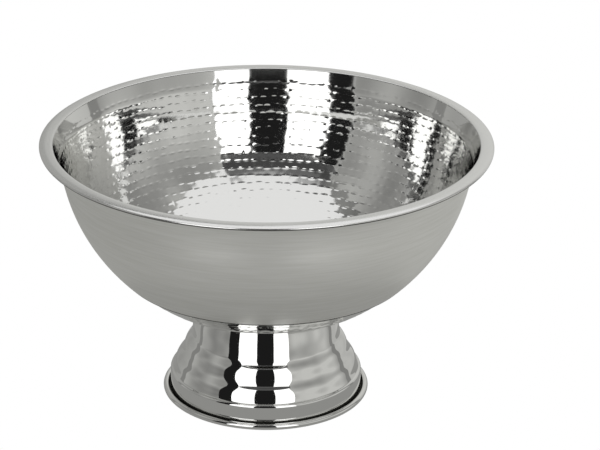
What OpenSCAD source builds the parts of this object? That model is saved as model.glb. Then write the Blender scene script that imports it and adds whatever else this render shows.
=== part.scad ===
// Footed punch bowl in stainless steel: a hammered liner inside a plain outer shell,
// joined in a rolled rim and bolted down to a spun pedestal foot.
// Millimetres, +Z up, origin at the centre of the face the foot stands on.

/* [Overall] */
// diameter over the rolled rim
rim_d = 400; // [397:1:406]
// height from the table to the top of the rim
total_h = 240; // [238:1:244]

/* [Bowl] */
// width of the ellipse that the outer shell's curve follows
shell_d = 366.2; // [364:0.2:368]
// depth of the outer shell's elliptical curve
shell_depth = 172.9; // [172:0.1:174]
// sheet thickness of the liner
liner_t = 1; // [0.8:0.1:1.2]
// sheet thickness of the outer shell
shell_t = 0.8; // [0.6:0.1:0.8]
// air gap between the skins at the wall
skin_gap = 1.2; // [1:0.1:1.4]
// diameter of the opening in the bottom of the outer shell
shell_opening_d = 260; // [250:1:264]

/* [Rim] */
// diameter of the wire inside the rolled rim
rim_wire_d = 2.4; // [2:0.1:2.6]
// sheet thickness around the wire
rim_t = 0.8; // [0.7:0.1:0.9]
// width of the flat flange, from its inner edge to the outside of the roll
flange_w = 11.4; // [10.5:0.1:12]
// height of the flare between the wall and the flange
flare_h = 16; // [14:1:18]

/* [Foot] */
// diameter over the bead at the bottom of the foot
foot_d = 186; // [184:1:190]
// diameter of the upright band above the bead
band_d = 173; // [172:0.5:174]
// diameter of the foot where it meets the bowl
neck_d = 125; // [124:0.2:126]
// sheet thickness of the foot
foot_t = 1.2; // [1:0.1:1.4]
// diameter of the wire inside the foot's bead
foot_wire_d = 3.6; // [3.2:0.1:3.8]
// how far each of the three rings stands out
ring_bulge = 1.1; // [0.7:0.1:1.3]

/* [Fastening] */
// thread diameter of the welded stud
stud_d = 8; // [6:1:8]
// diameter of the plate welded under the liner
plate_d = 56; // [50:1:60]
// diameter of the wide clamp washer
clamp_d = 40; // [30:1:42]
// width across the flats of the nut
nut_af = 13; // [12:0.5:14]

/* [Hidden] */
$fn = 128;
steps = 40;
rim_r = rim_d / 2;
curve_z = total_h + 1.2;
shell_r = shell_d / 2;
rim_roll_r = rim_wire_d / 2 + rim_t;
rim_roll_x = rim_r - rim_roll_r;
rim_roll_z = total_h - rim_roll_r;
flange_r = rim_r - flange_w;
// the wall is straight between the bowl curve and the flare, and leans out by this slope
wall_lean = 0.27;
wall_z = total_h - 35;
flare_z = total_h - flare_h;
liner_r = shell_r - shell_t - skin_gap;
liner_depth = shell_depth - shell_t;
shell_opening_r = shell_opening_d / 2;
neck_r = neck_d / 2;
bead_r = foot_wire_d / 2 + 1;
bead_x = foot_d / 2 - bead_r;
// the bead is drawn in steps, and stands on the flat of its lowest one
bead_step = 20;
bead_z = bead_r * cos(bead_step / 2);
// bottom of the groove between the band and the bead that is rolled up outside it
groove_z = 2.3;
shoulder_r = 2.5;
shoulder_z = 19;
land_r = 22;
land_z = curve_z - liner_depth - 2;
stud_end_z = 50;
clamp_t = 2;
spring_t = 2;
nut_h = 6.5;
land_under_z = land_z - foot_t;
clamp_under_z = land_under_z - clamp_t;
spring_under_z = clamp_under_z - spring_t;
nut_under_z = spring_under_z - nut_h;

steel = [0.80, 0.80, 0.78];
polished = [0.86, 0.87, 0.88];
zinc = [0.70, 0.72, 0.74];

// height of an elliptical bowl curve at radius r
function dish_z(r, half_w, depth) = curve_z - depth * sqrt(1 - pow(r / half_w, 2));

// bowl curve from radius r0 up to height z1, evenly spaced by angle
function dish(half_w, depth, r0, z1) =
    let (a0 = asin(r0 / half_w), a1 = acos((curve_z - z1) / depth))
    [for (i = [0:steps]) let (a = a0 + (a1 - a0) * i / steps)
        [half_w * sin(a), curve_z - depth * cos(a)]];

// straight wall above the bowl curve that ends at p, then the flare up to q
function upper_wall(p, q) = [[p[0] + wall_lean * (flare_z - wall_z), flare_z], q];

// ring of the foot from p down to q, standing out by bulge at its middle
function ring(p, q, bulge, n = 12) =
    let (d = q - p, outward = [-d[1], d[0]] / norm(d))
    [for (i = [0:n - 1]) let (t = i / n) p + d * t + outward * bulge * (1 - cos(360 * t)) / 2];

function reversed(a) = [for (i = [len(a) - 1:-1:0]) a[i]];

// liner: hammered bowl, smooth flare, flat flange and rolled edge
module inner_bowl() {
    inside_r = liner_r - liner_t;
    inside_depth = liner_depth - liner_t;
    outer = dish(liner_r, liner_depth, 0, wall_z);
    inner = dish(inside_r, inside_depth, 0, wall_z);
    outer_top = upper_wall(outer[steps], [flange_r - 0.1, total_h - 2.6]);
    inner_top = upper_wall(inner[steps], [flange_r - 1.2, total_h - 2.2]);
    color(polished)
        rotate_extrude() {
            polygon(concat(
                outer,
                outer_top,
                [[flange_r + 1.2, total_h - rim_t], [rim_roll_x, total_h - rim_t], [rim_roll_x, total_h],
                 [flange_r + 0.8, total_h], [flange_r, total_h - 0.3], [flange_r - 0.7, total_h - 1.1]],
                reversed(inner_top),
                reversed(inner)));
            translate([rim_roll_x, rim_roll_z])
                difference() {
                    circle(r = rim_roll_r);
                    circle(r = rim_wire_d / 2);
                }
        }
}

// outer shell: plain skin, open at the bottom, its top edge turned out under the flange
module outer_shell() {
    inside_r = shell_r - shell_t;
    inside_depth = liner_depth + 0.1;
    outer = dish(shell_r, shell_depth, shell_opening_r, wall_z);
    inner = dish(inside_r, inside_depth, shell_opening_r, wall_z);
    edge_z = total_h - rim_t;
    edge_r = rim_roll_x - rim_roll_r - 0.1;
    color(steel)
        rotate_extrude()
            polygon(concat(
                outer,
                upper_wall(outer[steps], [flange_r + 1.3, edge_z - 2.6]),
                [[flange_r + 3, edge_z - shell_t], [edge_r, edge_z - shell_t], [edge_r, edge_z],
                 [flange_r + 2.6, edge_z]],
                reversed(upper_wall(inner[steps], [flange_r + 0.5, edge_z - 1.9])),
                reversed(inner)));
}

// steel ring of round wire
module wire_ring(ring_r, z, wire_r) {
    rotate_extrude()
        translate([ring_r, z])
            circle(r = wire_r);
}

module rim_wire() {
    color(zinc)
        wire_ring(rim_roll_x, rim_roll_z, rim_wire_d / 2);
}

// plate welded under the liner: curved on top, flat land below
module base_plate() {
    plate_r = plate_d / 2;
    color(steel)
        rotate_extrude()
            polygon(concat(
                [for (i = [0:12]) let (r = plate_r * i / 12) [r, dish_z(r, liner_r, liner_depth)]],
                [[plate_r, foot_top_z(plate_r)], [land_r, land_z], [0, land_z]]));
}

module stud() {
    color(zinc) {
        translate([0, 0, stud_end_z + 1])
            cylinder(d = stud_d, h = land_z - stud_end_z - 1);
        translate([0, 0, stud_end_z])
            cylinder(d1 = stud_d - 2, d2 = stud_d, h = 1);
    }
}

// the foot's top leans up from its flat land towards the neck
top_edge_r = neck_r - 1.9;
top_edge_z = dish_z(neck_r, liner_r, liner_depth) - 1.3;
function foot_top_z(r) = land_z + (top_edge_z - land_z) * (r - land_r) / (top_edge_r - land_r);

// outside of the foot down to the groove: three rings, a shoulder and an upright band
function foot_outline() =
    let (neck = [neck_r, dish_z(neck_r, liner_r, liner_depth)],
         valley_1 = [67, 54.5],
         valley_2 = [75.6, 38],
         band_r = band_d / 2,
         shoulder_x = band_r - shoulder_r,
         ring_end = [shoulder_x - 0.1, shoulder_z + shoulder_r + 0.7])
    concat(
        ring(neck, valley_1, ring_bulge / 2),
        ring(valley_1, valley_2, ring_bulge),
        ring(valley_2, ring_end, ring_bulge),
        [ring_end],
        [for (a = [90:-15:0]) [shoulder_x + shoulder_r * cos(a), shoulder_z + shoulder_r * sin(a)]],
        [[band_r, groove_z], [bead_x - bead_r, groove_z]]);

// foot: spun sheet with a dished top, hole for the stud and a wired bead
module foot() {
    outline = foot_outline();
    hole_r = stud_d / 2 + 0.5;
    inside = [for (p = outline) [p[0] - foot_t, p[1]]];
    count = len(outline);
    color(polished)
        rotate_extrude()
            difference() {
                polygon(concat(
                    [[hole_r, land_under_z], [hole_r, land_z], [land_r, land_z], [top_edge_r, top_edge_z]],
                    outline,
                    [for (a = [180:-bead_step:-120]) [bead_x + bead_r * cos(a), bead_z + bead_r * sin(a)]],
                    [[band_d / 2, 0.7], [band_d / 2 - foot_t + 0.1, 2]],
                    [for (i = [count - 2:-1:1]) inside[i]],
                    [[top_edge_r, top_edge_z - foot_t - 0.8], [land_r, land_under_z]]));
                translate([bead_x, bead_z])
                    circle(r = foot_wire_d / 2);
            }
}

module foot_wire() {
    color(zinc)
        wire_ring(bead_x, bead_z, foot_wire_d / 2);
}

// plain round washer whose upper face lies at z
module washer(outside_d, thickness, z) {
    translate([0, 0, z - thickness])
        difference() {
            cylinder(d = outside_d, h = thickness);
            translate([0, 0, -1])
                cylinder(d = stud_d + 0.4, h = thickness + 2);
        }
}

module clamp_washer() {
    color(zinc)
        washer(clamp_d, clamp_t, land_under_z);
}

module spring_washer() {
    color(zinc)
        difference() {
            washer(14.8, spring_t, clamp_under_z);
            translate([0, 0, spring_under_z + spring_t / 2])
                rotate([20, 0, 0])
                    translate([0, -0.75, -spring_t])
                        cube([clamp_d, 1.5, 2 * spring_t]);
        }
}

module hex_nut() {
    color(zinc)
        translate([0, 0, nut_under_z])
            difference() {
                intersection() {
                    cylinder(d = nut_af / cos(30), h = nut_h, $fn = 6);
                    cylinder(d1 = nut_af + 0.8, d2 = nut_af + 0.8 + 2 * nut_h, h = nut_h);
                }
                translate([0, 0, -1])
                    cylinder(d = stud_d + 0.1, h = nut_h + 2);
            }
}

inner_bowl();
outer_shell();
rim_wire();
base_plate();
stud();
foot();
foot_wire();
clamp_washer();
spring_washer();
hex_nut();
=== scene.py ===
import math

import bpy
import numpy as np
from mathutils import Matrix, Vector


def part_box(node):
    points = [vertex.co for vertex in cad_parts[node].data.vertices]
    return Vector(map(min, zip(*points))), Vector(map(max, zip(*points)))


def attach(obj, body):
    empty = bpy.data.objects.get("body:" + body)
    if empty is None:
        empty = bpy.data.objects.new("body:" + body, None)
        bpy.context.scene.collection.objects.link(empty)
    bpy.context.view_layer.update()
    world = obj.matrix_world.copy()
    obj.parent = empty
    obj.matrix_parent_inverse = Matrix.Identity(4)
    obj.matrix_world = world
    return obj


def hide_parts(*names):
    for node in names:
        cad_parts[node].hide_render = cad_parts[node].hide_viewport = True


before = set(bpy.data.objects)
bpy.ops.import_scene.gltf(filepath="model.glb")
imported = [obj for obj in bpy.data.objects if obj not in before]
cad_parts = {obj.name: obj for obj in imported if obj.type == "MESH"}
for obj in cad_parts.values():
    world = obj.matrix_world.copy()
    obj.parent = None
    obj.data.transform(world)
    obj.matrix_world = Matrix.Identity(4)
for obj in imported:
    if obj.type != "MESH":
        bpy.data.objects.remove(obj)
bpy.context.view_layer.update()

MM = 0.001

# ---------------------------------------------------------------- sizes, in millimetres
# the driving sizes repeat part.scad's, because the frame holds only meshes
RIM_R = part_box("inner_bowl")[1][0] / MM
TOP_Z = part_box("inner_bowl")[1][2] / MM
CURVE_Z = TOP_Z + 1.2
SHELL_R = 183.1
SHELL_DEPTH = 172.9
SHELL_T = 0.8
SHELL_OPENING_R = 130
SKIN_GAP = 1.2
LINER_T = 1
LINER_R = SHELL_R - SHELL_T - SKIN_GAP
LINER_DEPTH = SHELL_DEPTH - SHELL_T
WALL_Z = TOP_Z - 35
WALL_LEAN = 0.27
FLARE_Z = TOP_Z - 16
FLANGE_R = RIM_R - 11.4
RIM_T = 0.8
ROLL_R = 2.0
ROLL_X = RIM_R - ROLL_R
ROLL_Z = TOP_Z - ROLL_R
NECK_R = 62.5
BAND_R = 86.5
RING_BULGE = 1.1
BEAD_R = 2.8
BEAD_X = 93 - BEAD_R
BEAD_STEP = 20
BEAD_Z = BEAD_R * math.cos(math.radians(BEAD_STEP / 2))
GROOVE_Z = 2.3
SHOULDER_R = 2.5
SHOULDER_Z = 19
FOOT_T = 1.2
STUD_HOLE_R = 4.5
LAND_R = 22
LAND_Z = CURVE_Z - LINER_DEPTH - 2

# sizes that only the visual model has
FLANGE_CROWN_W = 7
GROOVE_TOP_Z = 6.2
SMOOTH_BAND = 8

# hammer marks: each is a deep dash in a shallow hollow. The sizes are shares of the marks'
# spacing, along the row and across it
ROWS = 36
MARK_PITCH = 8.5
MARK_DEPTH = 0.12
MARK_SIZE = (0.33, 0.11)
HOLLOW_DEPTH = 0.03
HOLLOW_SIZE = (0.42, 0.40)
MARK_SCATTER = 0.06
FORCE_SCATTER = 0.25

# fineness of the meshes
SEGMENTS = 512
FOOT_SEGMENTS = 360
LINER_SEGMENTS = 640
LINER_STEP = 0.9
UNDERSIDE_STEP = 1.2

random = np.random.default_rng(12)


# ---------------------------------------------------------------- outlines
def dish(half_w, depth, r0, z1, count):
    """Elliptical bowl curve from radius r0 up to height z1."""
    start = math.asin(r0 / half_w)
    end = math.acos((CURVE_Z - z1) / depth)
    turn = np.linspace(start, end, count)
    return np.column_stack([half_w * np.sin(turn), CURVE_Z - depth * np.cos(turn)])


def dish_z(r, half_w, depth):
    """Height of an elliptical bowl curve at radius r."""
    return CURVE_Z - depth * math.sqrt(1 - (r / half_w) ** 2)


def upper_wall(start, end):
    """Leaning wall above the bowl curve that ends at start, then the flare up to end."""
    return np.array([(start[0] + WALL_LEAN * (FLARE_Z - WALL_Z), FLARE_Z), end])


def arc(x, z, radius, a0, a1, count):
    """Arc round (x, z) from angle a0 to a1, in degrees."""
    turn = np.radians(np.linspace(a0, a1, count))
    return np.column_stack([x + radius * np.cos(turn), z + radius * np.sin(turn)])


def lengths(line):
    """Distance of each point from the start, measured along the line."""
    return np.concatenate([[0], np.cumsum(np.hypot(*np.diff(line, axis=0).T))])


def smooth(line, rounds):
    """Rounds the corners of an open line by averaging, and keeps its ends."""
    line = np.array(line, float)
    for _ in range(rounds):
        line[1:-1] = line[1:-1] * 0.5 + (line[:-2] + line[2:]) * 0.25
    return line


def along(line, spacing):
    """Points of the line at about even spacing along it."""
    line = np.array(line, float)
    length = lengths(line)
    at = np.linspace(0, length[-1], max(2, round(length[-1] / spacing) + 1))
    return np.column_stack([np.interp(at, length, line[:, 0]), np.interp(at, length, line[:, 1])])


# ---------------------------------------------------------------- mesh builders
def new_piece(name, verts, faces, material, node, normals=None):
    """Visible piece in place of a CAD node, from points in millimetres."""
    mesh = bpy.data.meshes.new(name)
    mesh.from_pydata((verts * MM).tolist(), [], faces)
    mesh.materials.append(material)
    mesh.polygons.foreach_set("use_smooth", [True] * len(mesh.polygons))
    mesh.update()
    if normals is not None:
        mesh.normals_split_custom_set_from_vertices(normals.tolist())
    piece = bpy.data.objects.new(name, mesh)
    bpy.context.collection.objects.link(piece)
    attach(piece, "root")
    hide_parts(node)
    return piece


def ring_faces(rings, segments):
    """Quads that join neighbouring rings of points, and the last ring to the first."""
    i = np.arange(rings)[:, None]
    j = np.arange(segments)[None, :]
    below = (i + 1) % rings
    right = (j + 1) % segments
    quads = np.stack(np.broadcast_arrays(i * segments + j, i * segments + right,
                                         below * segments + right, below * segments + j), axis=-1)
    return quads.reshape(-1, 4).tolist()


def revolve(name, line, material, node, segments):
    """Closed section swept round the axis; the line runs anticlockwise seen along +Y."""
    turn = np.arange(segments) * 2 * math.pi / segments
    r = line[:, 0][:, None]
    z = np.broadcast_to(line[:, 1][:, None], (len(line), segments))
    points = np.stack([r * np.cos(turn), r * np.sin(turn), z], axis=-1).reshape(-1, 3)
    return new_piece(name, points, ring_faces(len(line), segments), material, node)


# ---------------------------------------------------------------- hammered liner
def liner_curve():
    """Inside of the liner, from the axis up the wall and the flare to the flange."""
    wall = dish(LINER_R - LINER_T, LINER_DEPTH - LINER_T, 0, WALL_Z, 500)
    curve = np.vstack([wall, upper_wall(wall[-1], (FLANGE_R - 0.7, TOP_Z - 1.1))])
    return smooth(along(curve, 0.5), 12)


CURVE = liner_curve()
CURVE_S = lengths(CURVE)
CURVE_SLOPE = np.gradient(CURVE, CURVE_S, axis=0)

ROW_SPACING = (CURVE_S[-1] - SMOOTH_BAND) / ROWS
ROW_R = np.interp((np.arange(ROWS) + 0.5) * ROW_SPACING, CURVE_S, CURVE[:, 0])
ROW_MARKS = np.maximum(6, np.round(2 * math.pi * ROW_R / MARK_PITCH)).astype(int)
MOST_MARKS = int(ROW_MARKS.max())
ROW_PHASE = random.random(ROWS)
MARK_SHIFT = random.normal(0, MARK_SCATTER, (ROWS, MOST_MARKS, 2))
MARK_FORCE = 1 + random.normal(0, FORCE_SCATTER, (ROWS, MOST_MARKS))

# the liner's underside shows between the foot and the shell's opening
BARE_FROM_S = np.interp(NECK_R, CURVE[:, 0], CURVE_S) - 3
BARE_TO_S = np.interp(SHELL_OPENING_R, CURVE[:, 0], CURVE_S) + 3

# the liner is split into three pieces, each closed between two distances along its
# curve; the liner is split into three pieces, to keep each within the size limit of a
# mesh
LINER_CUTS = (0.02, 95, 180, CURVE_S[-1] - 0.06)


def bump(u, v, depth, size):
    """Soft dent round u = v = 0, of a given depth and size."""
    return depth * np.exp(-(u / size[0]) ** 2 - (v / size[1]) ** 2)


def marks(s, turn):
    """Depth of the hammer marks at distance s along the curve and angle turn."""
    row = s / ROW_SPACING
    depth = np.zeros(np.broadcast(s, turn).shape)
    for step in (-1, 0, 1):
        index = np.floor(row).astype(int) + step
        inside = (index >= 0) & (index < ROWS)
        index = np.clip(index, 0, ROWS - 1)
        count = ROW_MARKS[index]
        place = (turn / (2 * math.pi)) % 1 * count + ROW_PHASE[index]
        number = np.floor(place).astype(int)
        shift = MARK_SHIFT[index, number % count]
        u = place - number - 0.5 - shift[..., 0]
        v = row - (index + 0.5) - shift[..., 1]
        mark = bump(u, v, MARK_DEPTH, MARK_SIZE) + bump(u, v, HOLLOW_DEPTH, HOLLOW_SIZE)
        depth += np.where(inside, MARK_FORCE[index, number % count] * mark, 0)
    return depth


def liner_surface(s, turn, offset):
    """Point of the liner's sheet at distance offset outside its inner face, marks included."""
    r = np.interp(s, CURVE_S, CURVE[:, 0])
    z = np.interp(s, CURVE_S, CURVE[:, 1])
    dr = np.interp(s, CURVE_S, CURVE_SLOPE[:, 0])
    dz = np.interp(s, CURVE_S, CURVE_SLOPE[:, 1])
    push = offset + marks(s, turn)
    r = r + dz * push
    z = z - dr * push
    return np.stack([r * np.cos(turn), r * np.sin(turn), z], axis=-1)


def sheet_grid(s, offset, facing):
    """Points and true normals of one face of the liner, one ring per value of s."""
    turn = np.arange(LINER_SEGMENTS)[None, :] * 2 * math.pi / LINER_SEGMENTS
    s = s[:, None]
    ds = 0.05
    dt = ds / np.maximum(np.interp(s, CURVE_S, CURVE[:, 0]), 1)
    points = liner_surface(s, turn, offset)
    up = liner_surface(s + ds, turn, offset) - liner_surface(s - ds, turn, offset)
    side = liner_surface(s, turn + dt, offset) - liner_surface(s, turn - dt, offset)
    normals = np.cross(side, up)
    normals /= np.maximum(np.linalg.norm(normals, axis=-1, keepdims=True), 1e-12)
    return points, normals * facing


def liner_part(name, s_low, s_high, material):
    """Closed piece of the liner between two distances along its curve."""
    inner_s = np.linspace(s_high, s_low, round((s_high - s_low) / LINER_STEP) + 1)
    hidden_s = np.linspace(s_low, s_high, 8)
    bare_s = np.arange(max(BARE_FROM_S, s_low), min(BARE_TO_S, s_high), UNDERSIDE_STEP)
    outer_s = np.unique(np.concatenate([hidden_s, bare_s]))
    inner, inner_normals = sheet_grid(inner_s, 0, -1)
    outer, outer_normals = sheet_grid(outer_s, LINER_T, 1)
    points = np.concatenate([inner, outer]).reshape(-1, 3)
    normals = np.concatenate([inner_normals, outer_normals]).reshape(-1, 3)
    faces = ring_faces(len(inner_s) + len(outer_s), LINER_SEGMENTS)
    return new_piece(name, points, faces, material, "inner_bowl", normals)


def rim_section():
    """Slightly domed flange with a crisp inner edge, and the sheet rolled round its wire."""
    t = np.linspace(0, 1, 24)[:, None]
    crown = np.array([RIM_R - FLANGE_CROWN_W, TOP_Z])
    inner_edge = np.array([FLANGE_R + 0.2, TOP_Z - 0.4])
    rise = inner_edge * (1 - t) ** 2 + (crown - [2, 0]) * 2 * t * (1 - t) + crown * t ** 2
    fall = arc(0, 0, 1, 88, 2, 30) * [FLANGE_CROWN_W, ROLL_R] + [RIM_R - FLANGE_CROWN_W, ROLL_Z]
    roll = arc(ROLL_X, ROLL_Z, ROLL_R, 0, -170, 30)
    back = arc(ROLL_X, ROLL_Z, ROLL_R - RIM_T, -170, 90, 30)
    under = [(FLANGE_R + 1, TOP_Z - RIM_T), (FLANGE_R - 0.5, TOP_Z - 0.95)]
    edge = [(FLANGE_R - 0.3, TOP_Z - 0.75), (FLANGE_R - 0.1, TOP_Z - 0.52)]
    return np.vstack([edge, rise, fall, roll, back, under])[::-1]


# ---------------------------------------------------------------- shell and foot
def shell_section():
    """Plain skin, open at the bottom, its top edge turned out under the flange."""
    inside_r, inside_depth = SHELL_R - SHELL_T, LINER_DEPTH + 0.1
    edge_z = TOP_Z - RIM_T
    edge_r = ROLL_X - ROLL_R - 0.1
    outer = dish(SHELL_R, SHELL_DEPTH, SHELL_OPENING_R, WALL_Z, 90)
    inner = dish(inside_r, inside_depth, SHELL_OPENING_R, WALL_Z, 40)
    outer_top = upper_wall(outer[-1], (FLANGE_R + 1.3, edge_z - 2.6))
    inner_top = upper_wall(inner[-1], (FLANGE_R + 0.5, edge_z - 1.9))
    lip = [(FLANGE_R + 3, edge_z - SHELL_T), (edge_r, edge_z - SHELL_T), (edge_r, edge_z),
           (FLANGE_R + 2.6, edge_z)]
    return np.vstack([outer, outer_top, lip, inner_top[::-1], inner[::-1]])


def ring(p, q, bulge, count=36):
    """Ring of the foot from p down to q, standing out at its middle."""
    p, q = np.array(p), np.array(q)
    step = q - p
    outward = np.array([-step[1], step[0]]) / np.hypot(*step)
    t = np.linspace(0, 1, count, endpoint=False)[:, None]
    return p + step * t + outward * bulge * (1 - np.cos(2 * math.pi * t)) / 2


def foot_section():
    """Spun sheet: dished top, three rings, a shoulder, an upright band and a wired bead."""
    neck = (NECK_R, dish_z(NECK_R, LINER_R, LINER_DEPTH))
    valley_1 = (67, 54.5)
    valley_2 = (75.6, 38)
    shoulder_x = BAND_R - SHOULDER_R
    ring_end = (shoulder_x - 0.1, SHOULDER_Z + SHOULDER_R + 0.7)
    rings = np.vstack([ring(neck, valley_1, RING_BULGE / 2), ring(valley_1, valley_2, RING_BULGE),
                       ring(valley_2, ring_end, RING_BULGE), [ring_end]])
    shoulder = arc(shoulder_x, SHOULDER_Z, SHOULDER_R, 90, 0, 14)
    outside = smooth(along(np.vstack([rings, shoulder, [(BAND_R, GROOVE_Z)]]), 0.5), 2)
    groove = [(BEAD_X - BEAD_R, GROOVE_Z)]
    bead = arc(BEAD_X, BEAD_Z, BEAD_R, 180, -120, 44)
    bead[:, 1] = np.maximum(bead[:, 1], 0)
    curl = [(BAND_R, 0.7), (BAND_R - FOOT_T + 0.1, 2)]
    inside = along(outside - [FOOT_T, 0], 3)[::-1]
    top_edge = (NECK_R - 1.9, neck[1] - 1.3)
    top = [(STUD_HOLE_R, LAND_Z - FOOT_T), (STUD_HOLE_R, LAND_Z), (LAND_R, LAND_Z), top_edge]
    under = [(top_edge[0], top_edge[1] - 2), (LAND_R, LAND_Z - FOOT_T)]
    return np.vstack([top, outside, groove, bead, curl, inside[1:-2], under])[::-1]


# ---------------------------------------------------------------- materials
def metal(name, colour, roughness):
    """Bare steel of one colour and roughness."""
    material = bpy.data.materials.new(name)
    material.use_nodes = True
    shader = material.node_tree.nodes["Principled BSDF"]
    shader.inputs["Base Color"].default_value = (*colour, 1)
    shader.inputs["Metallic"].default_value = 1
    shader.inputs["Roughness"].default_value = roughness
    return material


def line_noise(material, across, upward):
    """Noise drawn out into level lines, by its scales across and upward."""
    nodes, links = material.node_tree.nodes, material.node_tree.links
    place = nodes.new("ShaderNodeTexCoord")
    mapping = nodes.new("ShaderNodeMapping")
    mapping.inputs["Scale"].default_value = (across, across, upward)
    noise = nodes.new("ShaderNodeTexNoise")
    noise.inputs["Scale"].default_value = 1
    noise.inputs["Detail"].default_value = 3
    links.new(place.outputs["Object"], mapping.inputs["Vector"])
    links.new(mapping.outputs["Vector"], noise.inputs["Vector"])
    return noise.outputs["Fac"]


def brush(material, upward, strength):
    """Fine level scratches, as a turned satin finish leaves."""
    nodes, links = material.node_tree.nodes, material.node_tree.links
    height = line_noise(material, 20, upward)
    scratches = nodes.new("ShaderNodeBump")
    scratches.inputs["Strength"].default_value = strength
    scratches.inputs["Distance"].default_value = 0.0001
    links.new(height, scratches.inputs["Height"])
    links.new(scratches.outputs["Normal"], nodes["Principled BSDF"].inputs["Normal"])
    return material


def streak(material, dark, light):
    """Faint long streaks between two colours, left by the satin belt."""
    nodes, links = material.node_tree.nodes, material.node_tree.links
    share = line_noise(material, 22, 520)
    ramp = nodes.new("ShaderNodeValToRGB")
    for stop, position, colour in zip(ramp.color_ramp.elements, (0.3, 0.7), (dark, light)):
        stop.position = position
        stop.color = (*colour, 1)
    links.new(share, ramp.inputs["Fac"])
    links.new(ramp.outputs["Color"], nodes["Principled BSDF"].inputs["Base Color"])


mirror = metal("mirror_steel", (0.86, 0.86, 0.845), 0.06)
foot_mirror = metal("foot_mirror_steel", (0.84, 0.84, 0.825), 0.035)
satin = brush(metal("satin_rim_steel", (0.86, 0.86, 0.85), 0.20), 300, 0.1)
brushed = brush(metal("brushed_shell_steel", (0.86, 0.86, 0.83), 0.38), 520, 0.45)
streak(brushed, (0.825, 0.825, 0.79), (0.895, 0.895, 0.868))
plain = metal("plain_steel", (0.62, 0.63, 0.64), 0.35)
# dark steel used as painted shade: it stands in for the shadow in the crevices, not for tarnish on the
# steel
painted_shade = metal("painted_shade_steel", (0.10, 0.10, 0.09), 0.5)


def paint_shade(piece, radii, heights):
    """Paints shade: gives the dark second material to the faces of a crevice that lies between two radii
    and two heights.
    """
    piece.data.materials.append(painted_shade)
    for face in piece.data.polygons:
        r = math.hypot(face.center.x, face.center.y) / MM
        z = face.center.z / MM
        if radii[0] < r < radii[1] and heights[0] < z < heights[1]:
            face.material_index = 1


# ---------------------------------------------------------------- the object
for name, s_low, s_high in zip(("liner_lower", "liner_middle", "liner_upper"), LINER_CUTS, LINER_CUTS[1:]):
    liner_part(name, s_low, s_high, mirror)

rim = revolve("rolled_rim", rim_section(), satin, "inner_bowl", SEGMENTS)
# painted shade under the rolled rim, where the roll overhangs the shell
rim_underside = (TOP_Z - 2 * ROLL_R - 0.1, ROLL_Z - 0.4)
paint_shade(rim, (FLANGE_R + 3, RIM_R), rim_underside)

shell = revolve("shell_skin", shell_section(), brushed, "outer_shell", SEGMENTS)
# painted shadow: a dark line round the shell's edge at its opening, where the hammered liner shows below
opening_z = dish_z(SHELL_OPENING_R, SHELL_R, SHELL_DEPTH)
paint_shade(shell, (SHELL_OPENING_R - 1, SHELL_OPENING_R + 1.6), (opening_z - 10, opening_z + 10))

foot = revolve("spun_foot", foot_section(), foot_mirror, "foot", FOOT_SEGMENTS)
# painted shade in the narrow groove between the foot's upright band and its wired bead
paint_shade(foot, (BAND_R - 0.2, BEAD_X - 1.5), (GROOVE_Z - 0.1, GROOVE_TOP_Z))

for name in ("rim_wire", "base_plate", "stud", "foot_wire", "clamp_washer", "spring_washer", "hex_nut"):
    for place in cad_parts[name].material_slots:
        place.material = plain


# ---------------------------------------------------------------- studio
def glow(name, colour, strength, uneven=0.0):
    """Light of one strength, or one that wanders softly by the share uneven."""
    material = bpy.data.materials.new(name)
    material.use_nodes = True
    nodes, links = material.node_tree.nodes, material.node_tree.links
    nodes.clear()
    emission = nodes.new("ShaderNodeEmission")
    emission.inputs["Color"].default_value = (*colour, 1)
    emission.inputs["Strength"].default_value = strength
    if uneven:
        place = nodes.new("ShaderNodeTexCoord")
        noise = nodes.new("ShaderNodeTexNoise")
        noise.inputs["Scale"].default_value = 1.2
        noise.inputs["Detail"].default_value = 1
        spread = nodes.new("ShaderNodeMapRange")
        spread.inputs["From Min"].default_value = 0.3
        spread.inputs["From Max"].default_value = 0.7
        spread.inputs["To Min"].default_value = strength * (1 - uneven)
        spread.inputs["To Max"].default_value = strength * (1 + uneven)
        links.new(place.outputs["Object"], noise.inputs["Vector"])
        links.new(noise.outputs["Fac"], spread.inputs["Value"])
        links.new(spread.outputs["Result"], emission.inputs["Strength"])
    out = nodes.new("ShaderNodeOutputMaterial")
    links.new(emission.outputs["Emission"], out.inputs["Surface"])
    return material


def stage_mesh(name, verts, faces, material):
    """Part of the studio that only reflections see."""
    mesh = bpy.data.meshes.new(name)
    mesh.from_pydata(verts, [], faces)
    mesh.materials.append(material)
    card = bpy.data.objects.new(name, mesh)
    bpy.context.collection.objects.link(card)
    card.visible_camera = False
    card.visible_shadow = False
    return card


def round_card(name, azimuths, elevations, distance, material):
    """Part of a sphere round the bowl. Azimuth 0 is towards the camera and grows to its right."""
    cols, rows = 12, 8
    azimuths = np.radians(np.linspace(*azimuths, cols + 1))
    elevations = np.radians(np.linspace(*elevations, rows + 1))
    verts = [(distance * math.cos(e) * math.sin(a), -distance * math.cos(e) * math.cos(a),
              CARD_CENTRE_Z + distance * math.sin(e)) for e in elevations for a in azimuths]
    corners = [r * (cols + 1) + c for r in range(rows) for c in range(cols)]
    faces = [(i, i + 1, i + cols + 2, i + cols + 1) for i in corners]
    return stage_mesh(name, verts, faces, material)


def disc(name, radius, z, material):
    """Flat level disc round the axis."""
    turns = [2 * math.pi * i / 64 for i in range(64)]
    verts = [(radius * math.cos(turn), radius * math.sin(turn), z) for turn in turns]
    return stage_mesh(name, verts, [tuple(range(len(verts)))], material)


WHITE, GREY = (1, 1, 1), (1, 1, 0.97)
CARD_CENTRE_Z = 0.12
PANEL_DISTANCE = 1.0
WALL_DISTANCE = PANEL_DISTANCE + 0.4
CARD_BOTTOM = -25
PANEL_TOP = 40.5
WALL_TOP = 50

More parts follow.
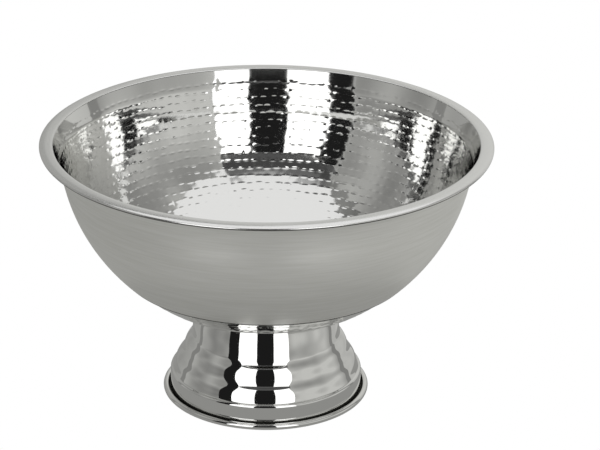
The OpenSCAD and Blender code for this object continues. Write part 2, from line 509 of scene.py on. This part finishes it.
# two light panels in front of the bowl, with black between them and at their left
panel = glow("panel_light", WHITE, 1.5)
black = glow("black_card", WHITE, 0.012)
panel_height = (CARD_BOTTOM, PANEL_TOP)
round_card("panel_left", (-40, -13), panel_height, PANEL_DISTANCE, panel)
round_card("panel_right", (11.5, 34), panel_height, PANEL_DISTANCE, panel)
round_card("black_middle", (-13, 11.5), panel_height, PANEL_DISTANCE + 0.02, black)
round_card("black_left", (-56, -40), panel_height, PANEL_DISTANCE, black)

# dark gap above the panels, which brightens towards the overhead light
for name, bottom, top, strength in (("gap_low", PANEL_TOP, 44, 0.09), ("gap_middle", 44, 49, 0.06),
                                    ("gap_high", 49, 53, 0.14), ("gap_top", 53, 56, 0.40)):
    round_card(name, (-56, 36), (bottom, top), PANEL_DISTANCE + 0.05, glow(name, WHITE, strength))
round_card("dim_left", (-180, -25), (48, 90), PANEL_DISTANCE + 0.3, glow("dim_ceiling", GREY, 0.15, 0.6))
overhead_corners = [(-0.7, -0.62, 1.15), (1.5, -0.95, 1.15), (1.5, 1.5, 1.15), (-0.7, 1.5, 1.15)]
stage_mesh("overhead", overhead_corners, [(0, 1, 2, 3)], glow("overhead_light", WHITE, 0.85))

# walls of the room, their seams and what lies below
wall_height = (CARD_BOTTOM, WALL_TOP)
for name, azimuths, strength, uneven in (("back_right", (115, 172), 0.56, 0.15),
                                         ("back_middle", (172, 187), 0.50, 0.15),
                                         ("back_left", (187, 197), 0.42, 0.15),
                                         ("far_left", (197, 245), 0.36, 0.15),
                                         ("right_wall", (34, 115), 0.43, 0.4),
                                         ("left_wall", (-115, -56), 0.34, 0.4)):
    round_card(name, azimuths, wall_height, WALL_DISTANCE, glow(name + "_glow", GREY, strength, uneven))
seam = glow("seam_card", GREY, 0.24)
round_card("seam_left", (-120, -112), wall_height, WALL_DISTANCE - 0.05, seam)
round_card("seam_right", (112, 120), wall_height, WALL_DISTANCE - 0.05, seam)
disc("ground", 5, -0.9, glow("ground_glow", GREY, 0.36))
round_card("low_right", (20, 150), (-65, CARD_BOTTOM), WALL_DISTANCE, glow("low_right_glow", GREY, 0.46))

# the camera sees a white floor, and the steel a grey table
floor = disc("floor", 14, -0.0006, glow("white_floor", WHITE, 1.0))
floor.visible_camera = True
floor.visible_glossy = False
floor.visible_diffuse = False
floor.visible_transmission = False
disc("table_seen_in_steel", 0.2, -0.001, glow("table_reflected", GREY, 0.30))

world = bpy.data.worlds.new("studio")
bpy.context.scene.world = world
world.use_nodes = True
world.node_tree.nodes["Background"].inputs["Color"].default_value = (1, 1, 0.98, 1)
world.node_tree.nodes["Background"].inputs["Strength"].default_value = 0.40

# ---------------------------------------------------------------- camera
CAMERA_DISTANCE = 2.2976
CAMERA_HEIGHT = 1.1222
YAW, PITCH, ROLL = (math.radians(a) for a in (0.745, 22.756, 0.556))

camera_data = bpy.data.cameras.new("camera")
camera_data.lens = 167.7
camera_data.sensor_width = 36
camera = bpy.data.objects.new("camera", camera_data)
bpy.context.collection.objects.link(camera)
ahead = Vector((math.sin(YAW) * math.cos(PITCH), math.cos(YAW) * math.cos(PITCH), -math.sin(PITCH)))
right = Vector((math.cos(YAW), -math.sin(YAW), 0))
above = right.cross(ahead)
rolled_right = right * math.cos(ROLL) + above * math.sin(ROLL)
rolled_above = above * math.cos(ROLL) - right * math.sin(ROLL)
turn = Matrix((rolled_right, rolled_above, -ahead)).transposed()
camera.matrix_world = Matrix.Translation((0, -CAMERA_DISTANCE, CAMERA_HEIGHT)) @ turn.to_4x4()
bpy.context.scene.camera = camera
bpy.context.scene.view_settings.view_transform = "Standard"
